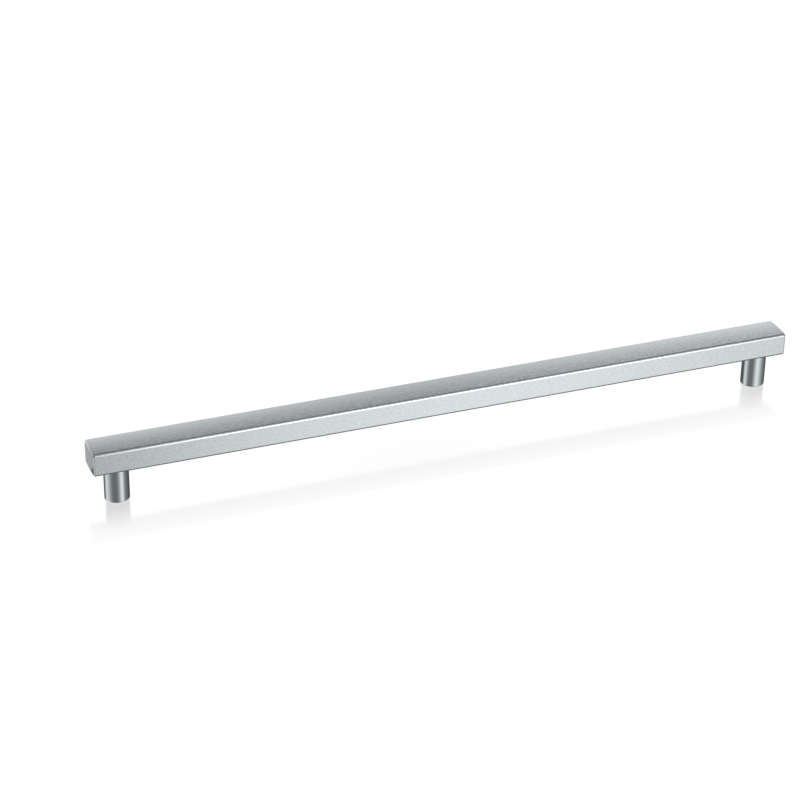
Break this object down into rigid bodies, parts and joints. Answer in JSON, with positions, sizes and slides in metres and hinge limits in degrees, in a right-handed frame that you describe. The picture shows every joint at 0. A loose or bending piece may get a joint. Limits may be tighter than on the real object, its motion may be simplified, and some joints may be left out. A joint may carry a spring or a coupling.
{
  "type": "refrigerator door handle",
  "caption": "Straight rectangular bar handle on two round posts, each with a threaded hole in its foot for a bolt through the door.",
  "frame": {"origin": "midway between the two posts, on the plane of their feet, where the handle meets the door", "axes": "+X along the bar to the right post, +Y across the bar, +Z from the door out to the bar"},
  "size_m": [0.538, 0.025, 0.0435],
  "materials": {
    "bar": "satin anodised, fine grain along the bar",
    "post": "turned and polished, bright",
    "set_screw": "dark oxidised steel"
  },
  "bodies": {
    "root": {"bar": "bar", "left_post": "post", "right_post": "post", "left_set_screw": "set_screw", "right_set_screw": "set_screw"}
  },
  "joints": []
}
